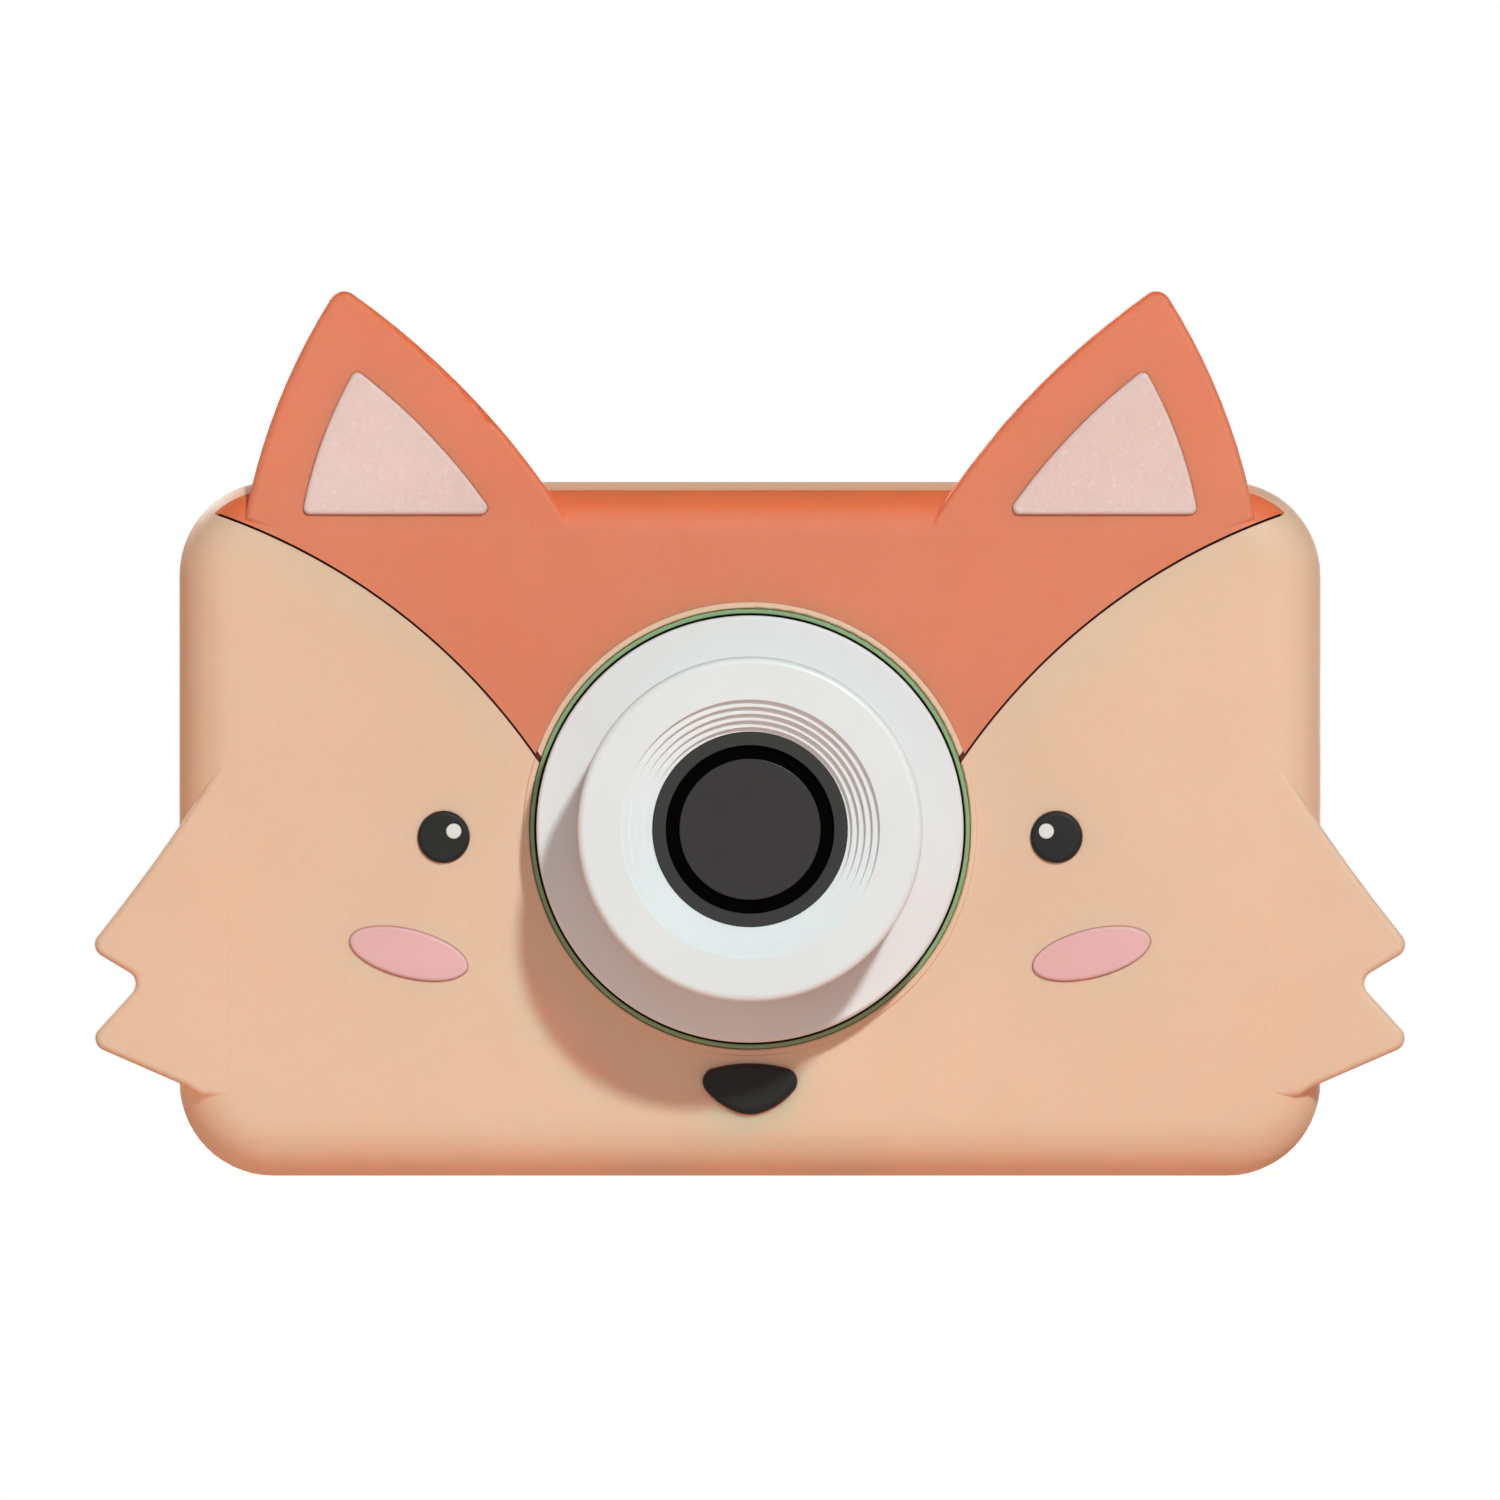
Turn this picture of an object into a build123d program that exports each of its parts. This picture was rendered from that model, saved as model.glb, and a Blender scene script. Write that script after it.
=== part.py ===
"""Kids' digital camera in an animal-face silicone sleeve, in millimetres.

Frame: +Z up, the face looks along -Y, +X is to the right of somebody looking at the face.
The origin is on the resting plane, centred under the whole object.
Left and right are named as seen from the front. All the fox-face colours are bonded silicone inlays.
"""

import os

from build123d import *

os.makedirs("parts", exist_ok=True)

# ---------------------------------------------------------------- driving dimensions
SLEEVE_WIDTH = 100.0
SLEEVE_HEIGHT = 60.8
CORNER_R = 8.2  # the sleeve's corners, seen from the front
FACE_Y = -7.0  # plane of the flat face
BACK_Y = 21.0  # rearmost plane of the sleeve's rim
FACE_EDGE_R = 4.8
BACK_EDGE_R = 2.4

SIDE_WALL = 2.0  # silicone beside, over and under the camera
FACE_WALL = 2.4
RIM_WALL = 1.6
STRETCH_GAP = 0.1  # between silicone and camera, so that the solids stay clear
PLASTIC_WALL = 1.8
CLEAR = 0.05  # between bonded or nested pieces

LENS_Z = SLEEVE_HEIGHT / 2
LENS_AXIS = Axis((0, 0, LENS_Z), (0, 1, 0))
LENS_PLANE = Plane.XY.offset(LENS_Z)  # local x is the radius and local y is the depth
TIP_Y = -21.0  # front of the lens barrel
BARREL_R = 15.0
TRIM_R = 18.64
COLLAR_BORE_R = 18.84
COLLAR_R = 19.25
LENS_HOLE_R = 19.3
LENS_LAND_R = 19.86  # outer edge of the narrow tan ring round the lens hole
COLLAR_TOP_Y = -7.1
BEAD_TOP_Y = -7.2  # crest of that tan ring
TRIM_TOP_Y = -11.1
TRIM_UNDER_Y = -9.55
TRIM_SEAT_Y = -6.0
GROOVE_FLOOR_Y = -4.4  # bottom of the groove between collar and ring
FOOT_TOP_Y = -6.2

HOUSING_FRONT = FACE_Y + FACE_WALL
HOUSING_BACK = BACK_Y - RIM_WALL
HOUSING_BOTTOM = SIDE_WALL
HOUSING_TOP = SLEEVE_HEIGHT - SIDE_WALL
FRONT_INSIDE = HOUSING_FRONT + PLASTIC_WALL
BACK_INSIDE = HOUSING_BACK - PLASTIC_WALL
TOP_INSIDE = HOUSING_TOP - PLASTIC_WALL
PARTING_Y = 3.5

BOARD_FRONT = 10.6
BOARD_BACK = 11.8
SCREEN_Z = 31.6

SIDES = {"left": -1, "right": 1}
CORNER_BOSSES = [(x, z) for x in (-40.5, 40.5) for z in (9.5, 50.9)]
BOARD_POSTS = [(-22.0, 53.0), (22.0, 53.0), (-20.0, 8.5)]
KEY_X = 35.8
KEY_ROWS = {"top": 43.5, "middle": 32.0, "bottom": 20.5}
KEY_TRAVEL = 0.5
KEYS = {
    "up_button": (-KEY_X, KEY_ROWS["top"], "up"),
    "ok_button": (-KEY_X, KEY_ROWS["middle"], "ring"),
    "down_button": (-KEY_X, KEY_ROWS["bottom"], "down"),
    "mode_button": (KEY_X, KEY_ROWS["middle"], "frame"),
    "play_button": (KEY_X, KEY_ROWS["bottom"], "play"),
}
SELFIE_SPOT = (KEY_X, KEY_ROWS["top"])
TOP_KEYS = {  # x, cap radius, cap top above the sleeve, travel
    "shutter_button": (-31.0, 4.8, 1.2, 0.8),
    "power_button": (31.0, 3.2, 0.6, 0.6),
}
TOP_KEY_Y = 10.2
TOP_SWITCH_Y = 8.8
TOP_PLUNGER_Z = 53.8
KEY_FLANGE_WIDER = 0.8  # a key's flange inside the wall, beyond its cap

DOOR_AXIS_Y, DOOR_AXIS_Z = 7.7, 2.85
DOOR_KNUCKLE_R = 0.8
DOOR_PIN_R = 0.4
DOOR_HALF_WIDTH = 13.4
DOOR_FREE_EDGE_Y = 16.9
SPEAKER_SPOT = (25.0, 8.7)
LIGHT_SPOT = (-31.0, 8.5)
LANYARD_SPOT = (10.5, 44.0)  # y and z of the pocket's middle


# ---------------------------------------------------------------- helpers
def facing(y):
    """A sketch plane seen from the front at depth y: local x is X and local y is Z."""
    return Plane.XZ.offset(-y)


def save(builder, name):
    builder.part.label = name
    export_step(builder.part, f"parts/{name}.step")


def rounded_block(width, bottom, top, front, back, corner, front_edge, back_edge):
    """A box with rounded corners seen from the front, and rounded front and back edges."""
    with BuildPart() as block:
        with BuildSketch(facing(front)):
            with Locations((0, (bottom + top) / 2)):
                RectangleRounded(width, top - bottom, corner)
        extrude(amount=-(back - front))
        faces = block.faces().sort_by(Axis.Y)
        fillet(faces[0].edges(), front_edge)
        fillet(block.faces().sort_by(Axis.Y)[-1].edges(), back_edge)
    return block.part


def ring_profile(points, mode=Mode.ADD):
    """Turns a closed outline of (radius, y) points about the lens axis, inside a part block."""
    with BuildSketch(LENS_PLANE) as profile:
        with BuildLine():
            Polyline(*points, close=True)
        make_face()
    revolve(profile.sketch, axis=LENS_AXIS, mode=mode)


def posts(places, radius, start, end, mode=Mode.ADD):
    """Round posts or holes along Y from start to end, inside a part block."""
    with BuildSketch(facing(start)) as discs:
        with Locations(*places):
            Circle(radius)
    extrude(discs.sketch, amount=-(end - start), mode=mode)


def slab(x, y, z, mode=Mode.ADD):
    """A box between two corners given as (low, high) pairs."""
    middle = tuple((low + high) / 2 for low, high in (x, y, z))
    with Locations(middle):
        Box(x[1] - x[0], y[1] - y[0], z[1] - z[0], mode=mode)


# ---------------------------------------------------------------- face outlines
EYE_X, EYE_Z, EYE_R = 26.79, 29.7, 2.255
GLINT_X, GLINT_Z, GLINT_R = 25.9, 30.2, 0.67
CHEEK_X, CHEEK_Z = 29.85, 19.5
CHEEK_LENGTH, CHEEK_WIDTH, CHEEK_TILT = 10.6, 4.2, 14.0
NOSE_HALF_WIDTH, NOSE_TOP, NOSE_BOTTOM = 4.72, 8.96, 5.35


def draw_eye(side, grow=0.0):
    with Locations((side * EYE_X, EYE_Z)):
        Circle(EYE_R + grow)


def draw_glint(side, grow=0.0):
    with Locations((side * GLINT_X, GLINT_Z)):
        Circle(GLINT_R + grow)


def draw_cheek(side, grow=0.0):
    with Locations((side * CHEEK_X, CHEEK_Z)):
        Ellipse(CHEEK_LENGTH / 2 + grow, CHEEK_WIDTH / 2 + grow, rotation=side * CHEEK_TILT)


def nose_outline(grow=0.0):
    """A soft triangle standing on its point, with three bulging edges."""
    reach = NOSE_HALF_WIDTH + 1.3 * grow
    top = NOSE_TOP + 0.4 * grow
    bottom = NOSE_BOTTOM - grow
    flank = (reach / 2 + 0.46, (top + bottom) / 2 - 0.6)
    with BuildSketch() as nose:
        with BuildLine():
            left, right, point = (-reach, top), (reach, top), (0, bottom)
            ThreePointArc(left, (0, top + 0.94), right)
            ThreePointArc(right, flank, point)
            ThreePointArc(point, (-flank[0], flank[1]), left)
        make_face()
        fillet(nose.vertices().group_by(Axis.Y)[-1], 1.18 + grow)
        fillet(nose.vertices().sort_by(Axis.Y)[0], 3.3 + grow)
    return nose.sketch


def inner_ear_outline(side, grow=0.0):
    """The pink field of one ear: three bulging edges and small round corners."""
    with BuildSketch() as field:
        with BuildLine():
            top = (-34.5 - 0.3 * grow, 70.61 + 1.48 * grow)
            outer = (-39.18 - 1.19 * grow, 57.88 - grow)
            inner = (-22.4 + 1.89 * grow, 57.88 - grow)
            ThreePointArc(top, (-37.31 - 0.94 * grow, 64.7 + 0.35 * grow), outer)
            Line(outer, inner)
            ThreePointArc(inner, (-27.43 + 0.73 * grow, 64.2 + 0.68 * grow), top)
        make_face()
        fillet(field.vertices(), 0.6 + grow)
        if side > 0:
            mirror(about=Plane.YZ, mode=Mode.REPLACE)
    return field.sketch


def ear_outline(side):
    """One ear, reaching down over the sleeve's rounded edge to the flat face."""
    with BuildSketch() as ear:
        with BuildLine():
            tip, outer, inner = (-35.89, 77.97), (-44.2, 57.4), (-14.83, 55.6)
            ThreePointArc(outer, (-41.56, 66.9), tip)
            ThreePointArc(tip, (-24.36, 68.2), inner)
            Polyline(inner, (-40.2, 55.6), outer)
        make_face()
        fillet(ear.vertices().sort_by(Axis.Y)[-1], 1.35)
        if side > 0:
            mirror(about=Plane.YZ, mode=Mode.REPLACE)
    return ear.sketch


def whisker_outline(side):
    """The two-pointed cheek fur beside the sleeve, reaching in under the flat face."""
    with BuildSketch() as fur:
        with BuildLine():
            upper_tip, shoulder = (-57.88, 20.0), (-44.0, 39.95)
            ThreePointArc(shoulder, (-51.6, 28.24), upper_tip)
            Polyline(upper_tip, (-53.09, 17.13), (-58.04, 11.7), (-49.3, 7.89), (-48.0, 7.08), (-43.0, 6.7), shoulder)
        make_face()
        fillet(fur.vertices().filter_by(lambda v: v.X < -50), 1.15)
        fillet(fur.vertices().filter_by(lambda v: -50 < v.X < -47), 1.2)
        if side > 0:
            mirror(about=Plane.YZ, mode=Mode.REPLACE)
    return fur.sketch


def forehead_outline(grow=0.0):
    """The orange field between the two brow curves and over the lens ring, open at the top."""
    with BuildSketch() as field:
        with BuildLine():
            brow_end, brow_start = (-15.7, 33.36 - grow), (-18.69, 36.81 - grow)
            ThreePointArc((-52.0, 59.61 - grow), (-31.32, 49.89 - grow), brow_start)
            Line(brow_start, brow_end)
            Line(brow_end, (0, 33.36 - grow))
            Line((0, 33.36 - grow), (0, 70))
            Line((0, 70), (-52.0, 70))
            Line((-52.0, 70), (-52.0, 59.61 - grow))
        make_face()
        mirror(about=Plane.YZ)
        with Locations((0, LENS_Z)):
            Circle(LENS_LAND_R - 0.09 * grow, mode=Mode.SUBTRACT)
    return field.sketch


# ---------------------------------------------------------------- shared shapes
sleeve_block = rounded_block(
    SLEEVE_WIDTH, 0, SLEEVE_HEIGHT, FACE_Y, BACK_Y, CORNER_R, FACE_EDGE_R, BACK_EDGE_R
)
sleeve_cavity = rounded_block(
    SLEEVE_WIDTH - 2 * (SIDE_WALL - STRETCH_GAP),
    HOUSING_BOTTOM - STRETCH_GAP,
    HOUSING_TOP + STRETCH_GAP,
    HOUSING_FRONT - STRETCH_GAP,
    HOUSING_BACK + STRETCH_GAP,
    CORNER_R - SIDE_WALL + STRETCH_GAP,
    2.7,
    1.7,
)
housing_block = rounded_block(
    SLEEVE_WIDTH - 2 * SIDE_WALL,
    HOUSING_BOTTOM,
    HOUSING_TOP,
    HOUSING_FRONT,
    HOUSING_BACK,
    CORNER_R - SIDE_WALL,
    2.6,
    1.6,
)
housing_hollow = rounded_block(
    SLEEVE_WIDTH - 2 * (SIDE_WALL + PLASTIC_WALL),
    HOUSING_BOTTOM + PLASTIC_WALL,
    TOP_INSIDE,
    FRONT_INSIDE,
    BACK_INSIDE,
    CORNER_R - SIDE_WALL - PLASTIC_WALL,
    0.8,
    0.5,
)
PANEL_SKIN = 1.2  # thickness of the orange field
SEAM = 0.2  # width of the open seam along the brow curves
PANEL_WRAP = 2.2  # how far back the orange field reaches over the rounded edge
panel_core = rounded_block(
    SLEEVE_WIDTH - 2 * PANEL_SKIN,
    PANEL_SKIN,
    SLEEVE_HEIGHT - PANEL_SKIN,
    FACE_Y + PANEL_SKIN,
    BACK_Y,
    CORNER_R - PANEL_SKIN,
    FACE_EDGE_R - PANEL_SKIN,
    BACK_EDGE_R,
)

FLAP_DROP = 0.03  # how far the flaps lie behind the plane of the face
WHISKER_THICK = 3.0
EAR_THICK = 3.2
PLATE_EDGE_R = 0.6
INLAY_SEAT = 0.6  # depth of the pockets that the face inlays are bonded into
EAR_INLAY_SEAT = 0.4


def soft_plate(outline, thickness):
    """A flat silicone flap just below the face, its edges rounded front and back."""
    with BuildPart() as plate:
        with BuildSketch(facing(FACE_Y + FLAP_DROP)):
            add(outline)
        extrude(amount=-thickness)
        fillet(plate.faces().filter_by(Axis.Y).edges(), PLATE_EDGE_R)
    return plate.part


whiskers = [soft_plate(whisker_outline(side), WHISKER_THICK) for side in SIDES.values()]
ears = [soft_plate(ear_outline(side), EAR_THICK) for side in SIDES.values()]


def panel_tool(grow, wrap):
    """The layer that the orange field fills, reaching wrap behind the face."""
    with BuildPart() as tool:
        with BuildSketch(facing(FACE_Y - 1)):
            add(forehead_outline(grow))
        extrude(amount=-(1 + wrap))
        add(panel_core, mode=Mode.SUBTRACT)
    return tool.part


# ---------------------------------------------------------------- silicone sleeve
panel_recess = panel_tool(SEAM, PANEL_WRAP + CLEAR)

with BuildPart() as silicone_sleeve:
    add(sleeve_block)
    for flap in whiskers:
        add(flap)
    add(sleeve_cavity, mode=Mode.SUBTRACT)
    # rear window onto the camera's screen and keys
    with BuildSketch(facing(HOUSING_BACK)):
        with Locations((0, LENS_Z)):
            RectangleRounded(89.0, 49.4, 4.5)
    extrude(amount=-(RIM_WALL + 1), mode=Mode.SUBTRACT)
    fillet(silicone_sleeve.faces().sort_by(Axis.Y)[-1].inner_wires()[0].edges(), 0.6)
    # hole for the lens collar
    with BuildSketch(facing(FACE_Y)):
        with Locations((0, LENS_Z)):
            Circle(LENS_HOLE_R)
    extrude(amount=-(FACE_WALL + 1), mode=Mode.SUBTRACT)
    # holes for the two keys on top
    for key_x, cap_r, _, _ in TOP_KEYS.values():
        with BuildSketch(Plane.XY.offset(SLEEVE_HEIGHT)):
            with Locations((key_x, TOP_KEY_Y)):
                Circle(cap_r + 0.8)
        extrude(amount=-(SIDE_WALL + 1), mode=Mode.SUBTRACT)
    # opening round the port door
    with BuildSketch(Plane.XY):
        with Locations((0, 11.1)):
            RectangleRounded(33.0, 13.0, 3.0)
    extrude(amount=SIDE_WALL + 1, mode=Mode.SUBTRACT)
    # opening for the lanyard
    with BuildSketch(Plane.YZ.offset(SLEEVE_WIDTH / 2)):
        with Locations(LANYARD_SPOT):
            RectangleRounded(11.0, 10.0, 3.0)
    extrude(amount=-(SIDE_WALL + 1), mode=Mode.SUBTRACT)
    # recess of the orange field and pockets of the inlays
    add(panel_recess, mode=Mode.SUBTRACT)
    with BuildSketch(facing(FACE_Y)):
        for side in SIDES.values():
            draw_eye(side, CLEAR)
            draw_cheek(side, CLEAR)
        add(nose_outline(CLEAR))
    extrude(amount=-INLAY_SEAT, mode=Mode.SUBTRACT)
    # raised bead round the lens hole
    bead_r = (LENS_HOLE_R, LENS_LAND_R - 0.02)
    ring_profile(
        [
            (bead_r[0], FACE_Y + 0.3),
            (bead_r[0], BEAD_TOP_Y),
            (bead_r[1], BEAD_TOP_Y),
            (bead_r[1], FACE_Y + 0.3),
        ]
    )
    fillet(silicone_sleeve.faces().sort_by(Axis.Y)[0].edges(), 0.16)
save(silicone_sleeve, "silicone_sleeve")

# ---------------------------------------------------------------- orange field with the ears
panel_layer = panel_tool(0.0, PANEL_WRAP)

with BuildPart() as ear_pair:
    for flap in ears:
        add(flap)
    add(sleeve_block, mode=Mode.SUBTRACT)

with BuildPart() as forehead_panel:
    add(sleeve_block)
    add(panel_layer, mode=Mode.INTERSECT)
    add(ear_pair.part)
    with BuildSketch(facing(FACE_Y)):
        for side in SIDES.values():
            add(inner_ear_outline(side, CLEAR))
    extrude(amount=-EAR_INLAY_SEAT, mode=Mode.SUBTRACT)
save(forehead_panel, "forehead_panel")


# ---------------------------------------------------------------- face inlays
def inlay(outline, seat, proud, edge):
    """A raised silicone inlay, bonded into a pocket of depth seat and standing proud of the face."""
    with BuildPart() as piece:
        with BuildSketch(facing(FACE_Y - proud)):
            add(outline)
        extrude(amount=-(proud + seat))
        fillet(piece.faces().sort_by(Axis.Y)[0].edges(), edge)
    return piece.part


def save_inlay(name, outline, seat, proud, edge):
    with BuildPart() as piece:
        add(inlay(outline, seat, proud, edge))
    save(piece, name)


EYE_PROUD = 0.5
GLINT_SEAT = 0.2
for label, side in SIDES.items():
    with BuildSketch() as eye_outline:
        draw_eye(side)
    with BuildSketch() as glint_outline:
        draw_glint(side)
    with BuildSketch() as glint_pocket:
        draw_glint(side, CLEAR / 2)
    with BuildSketch() as cheek_outline:
        draw_cheek(side)

    with BuildPart() as eye:
        add(inlay(eye_outline.sketch, INLAY_SEAT, EYE_PROUD, 0.35))
        with BuildSketch(facing(FACE_Y - EYE_PROUD)):
            add(glint_pocket.sketch)
        extrude(amount=-GLINT_SEAT, mode=Mode.SUBTRACT)
    save(eye, f"eye_{label}")

    with BuildPart() as glint:
        with BuildSketch(facing(FACE_Y - EYE_PROUD - 0.15)):
            add(glint_outline.sketch)
        extrude(amount=-(0.15 + GLINT_SEAT))
        fillet(glint.faces().sort_by(Axis.Y)[0].edges(), 0.12)
    save(glint, f"eye_glint_{label}")

    save_inlay(f"cheek_{label}", cheek_outline.sketch, INLAY_SEAT, 0.4, 0.3)
    save_inlay(f"inner_ear_{label}", inner_ear_outline(side), EAR_INLAY_SEAT, 0.45, 0.35)

save_inlay("nose", nose_outline(), INLAY_SEAT, 0.8, 0.6)

# ---------------------------------------------------------------- camera housing
FRONT_BORE_R = 13.2
BARREL_SCREWS = [(15.6, angle) for angle in (90, 210, 330)]
BOSS_BORE_R = 1.0
CAMERA_POSTS = [(-15.6, LENS_Z), (15.6, LENS_Z)]


def around_lens(radius, angle):
    """A place on a circle round the lens, as (x, z)."""
    spot = Vector(radius, 0, 0).rotate(Axis.Z, angle)
    return (spot.X, spot.Y + LENS_Z)


with BuildPart() as front_housing:
    add(housing_block)
    add(housing_hollow, mode=Mode.SUBTRACT)
    split(bisect_by=facing(PARTING_Y), keep=Keep.TOP)
    posts(CORNER_BOSSES, 2.6, FRONT_INSIDE - 0.5, PARTING_Y)
    posts(CAMERA_POSTS, 1.5, FRONT_INSIDE - 0.5, 0.5)
    ring_profile(
        [
            (17.95, HOUSING_FRONT + 0.5),
            (17.95, TRIM_SEAT_Y),
            (18.45, TRIM_SEAT_Y),
            (18.45, GROOVE_FLOOR_Y),
            (COLLAR_BORE_R, GROOVE_FLOOR_Y),
            (COLLAR_BORE_R, COLLAR_TOP_Y),
            (COLLAR_R, COLLAR_TOP_Y),
            (COLLAR_R, HOUSING_FRONT + 0.5),
        ]
    )
    fillet(front_housing.faces().sort_by(Axis.Y)[0].edges(), 0.12)
    posts([(0, LENS_Z)], FRONT_BORE_R, HOUSING_FRONT - 1, FRONT_INSIDE + 0.1, Mode.SUBTRACT)
    screw_spots = [around_lens(*spot) for spot in BARREL_SCREWS]
    posts(screw_spots, BOSS_BORE_R, HOUSING_FRONT - 1, FRONT_INSIDE + 0.1, Mode.SUBTRACT)
    posts(CORNER_BOSSES, BOSS_BORE_R, -2.0, PARTING_Y, Mode.SUBTRACT)
    posts(CAMERA_POSTS, 0.7, -2.0, 0.5, Mode.SUBTRACT)
save(front_housing, "front_housing")

PORT_WELL = {"x": (-13.6, 13.6), "y": (6.5, 17.1)}
PORT_FLOOR_Z = 3.7
PAD_TOP_Z = 4.6
TONGUE = 1.2  # rim of the rear housing that reaches into the front one
POCKET_Y = (LANYARD_SPOT[0] - 4.3, LANYARD_SPOT[0] + 4.3)
POCKET_Z = (LANYARD_SPOT[1] - 3.8, LANYARD_SPOT[1] + 3.8)
POCKET_FLOOR_X = 44.0
SCREW_SEAT_Y = 13.4
WINDOW_SIZE = (50.0, 38.0)
WINDOW_THICK = 1.2
LCD_VIEW = (44.0, 33.0)

hollow_width = SLEEVE_WIDTH - 2 * (SIDE_WALL + PLASTIC_WALL)
hollow_height = SLEEVE_HEIGHT - 2 * (SIDE_WALL + PLASTIC_WALL)
hollow_corner = CORNER_R - SIDE_WALL - PLASTIC_WALL

with BuildPart() as rear_housing:
    add(housing_block)
    add(housing_hollow, mode=Mode.SUBTRACT)
    split(bisect_by=facing(PARTING_Y), keep=Keep.BOTTOM)
    # tongue round the parting line, joined to the wall by a short overlap
    with BuildSketch(facing(PARTING_Y - TONGUE)):
        with Locations((0, LENS_Z)):
            RectangleRounded(hollow_width - 0.1, hollow_height - 0.1, hollow_corner)
            RectangleRounded(hollow_width - 1.7, hollow_height - 1.7, 1.4, mode=Mode.SUBTRACT)
    extrude(amount=-TONGUE)
    with BuildSketch(facing(PARTING_Y)):
        with Locations((0, LENS_Z)):
            RectangleRounded(hollow_width + 1, hollow_height + 1, hollow_corner)
            RectangleRounded(hollow_width - 1.7, hollow_height - 1.7, 1.4, mode=Mode.SUBTRACT)
    extrude(amount=-1.0)
    posts(CORNER_BOSSES, 2.9, PARTING_Y, BACK_INSIDE + 0.5)
    posts(BOARD_POSTS, 1.8, BOARD_BACK, BACK_INSIDE + 0.5)
    # thickened floor round the ports and the walls of the lanyard pocket
    slab((-16.6, 16.6), (5.6, BACK_INSIDE + 0.5), (HOUSING_BOTTOM + 1, PAD_TOP_Z))
    slab(
        (POCKET_FLOOR_X - 1.2, 47.0),
        (POCKET_Y[0] - 1.2, POCKET_Y[1] + 1.2),
        (POCKET_Z[0] - 1.2, POCKET_Z[1] + 1.2),
    )
    slab((POCKET_FLOOR_X, 49), POCKET_Y, POCKET_Z, Mode.SUBTRACT)
    with Locations((46.8, LANYARD_SPOT[0], LANYARD_SPOT[1])):
        Cylinder(0.92, 9.6, mode=Mode.SUBTRACT)
    # port well, the opening in its floor, and the hinge bores
    slab(PORT_WELL["x"], PORT_WELL["y"], (1, PORT_FLOOR_Z), Mode.SUBTRACT)
    slab((-12.6, 14.2), (8.8, 15.9), (PORT_FLOOR_Z - 0.1, PAD_TOP_Z + 0.1), Mode.SUBTRACT)
    with Locations(Location((0, DOOR_AXIS_Y, DOOR_AXIS_Z), (0, 90, 0))):
        Cylinder(DOOR_PIN_R + 0.02, 31.0, mode=Mode.SUBTRACT)
    # screen recess and view
    with BuildSketch(facing(HOUSING_BACK - WINDOW_THICK - 0.1)):
        with Locations((0, SCREEN_Z)):
            RectangleRounded(WINDOW_SIZE[0] + 0.2, WINDOW_SIZE[1] + 0.2, 3.1)
    extrude(amount=-3, mode=Mode.SUBTRACT)
    with BuildSketch(facing(BACK_INSIDE - 0.5)):
        with Locations((0, SCREEN_Z)):
            RectangleRounded(*LCD_VIEW, 1.0)
    extrude(amount=-3, mode=Mode.SUBTRACT)
    # holes for the keys, the rear lens, the light, the speaker and the screws
    key_spots = [(x, z) for x, z, _ in KEYS.values()]
    posts(key_spots, 4.15, BACK_INSIDE - 0.5, HOUSING_BACK + 1, Mode.SUBTRACT)
    posts([SELFIE_SPOT], 4.55, BACK_INSIDE - 0.5, HOUSING_BACK + 1, Mode.SUBTRACT)
    posts([LIGHT_SPOT], 1.05, BACK_INSIDE - 0.5, HOUSING_BACK + 1, Mode.SUBTRACT)
    with BuildSketch(facing(BACK_INSIDE - 0.5)):
        with Locations(SPEAKER_SPOT):
            with GridLocations(0, 2.2, 1, 3):
                SlotOverall(9.0, 1.0)
    extrude(amount=-3, mode=Mode.SUBTRACT)
    posts(CORNER_BOSSES, 1.15, PARTING_Y - 1, HOUSING_BACK + 1, Mode.SUBTRACT)
    posts(CORNER_BOSSES, 2.3, SCREW_SEAT_Y, HOUSING_BACK + 1, Mode.SUBTRACT)
    posts(BOARD_POSTS, 0.82, BOARD_BACK - 1, 16.5, Mode.SUBTRACT)
    # holes for the keys on top
    for key_x, cap_r, _, _ in TOP_KEYS.values():
        with BuildSketch(Plane.XY.offset(HOUSING_TOP + 1)):
            with Locations((key_x, TOP_KEY_Y)):
                Circle(cap_r + 0.15)
        extrude(amount=-(PLASTIC_WALL + 2), mode=Mode.SUBTRACT)
save(rear_housing, "rear_housing")


# ---------------------------------------------------------------- screws
def screw(spots, head_y, head_r, head_thick, shank_r, length, towards=-1):
    """Pan-head screws along Y with a cross recess, the shank pointing towards -Y or +Y."""
    head_end = head_y - towards * head_thick
    with BuildPart() as screws:
        posts(spots, shank_r, *sorted((head_y, head_y + towards * length)))
        posts(spots, head_r, *sorted((head_y, head_end)))
        with BuildSketch(facing(head_end)):
            with Locations(*spots):
                Rectangle(head_r * 1.1, head_r * 0.28)
                Rectangle(head_r * 0.28, head_r * 1.1)
        extrude(amount=-towards * -head_thick * 0.6, mode=Mode.SUBTRACT)
    return screws


save(screw(CORNER_BOSSES, SCREW_SEAT_Y, 2.1, 1.2, 0.98, 14.8), "housing_screws")
save(screw(screw_spots, FRONT_INSIDE + 0.02, 1.7, 0.9, 0.9, 2.9), "barrel_screws")
save(screw(BOARD_POSTS, BOARD_FRONT - 0.02, 1.7, 0.9, 0.8, 5.4, towards=1), "board_screws")

# ---------------------------------------------------------------- lens stack
STEP_RADII = [11.28, 10.66, 10.05, 9.47, 8.89]
STEP_DEPTH = 0.47
BEZEL_R = 8.51
BEZEL_Y = TIP_Y + STEP_DEPTH * len(STEP_RADII)
BEZEL_BACK_Y = -17.4

step_points = []
for number, radius in enumerate(STEP_RADII):
    step_points.append((radius, TIP_Y + STEP_DEPTH * number))
    step_points.append((radius, TIP_Y + STEP_DEPTH * (number + 1)))

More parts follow.
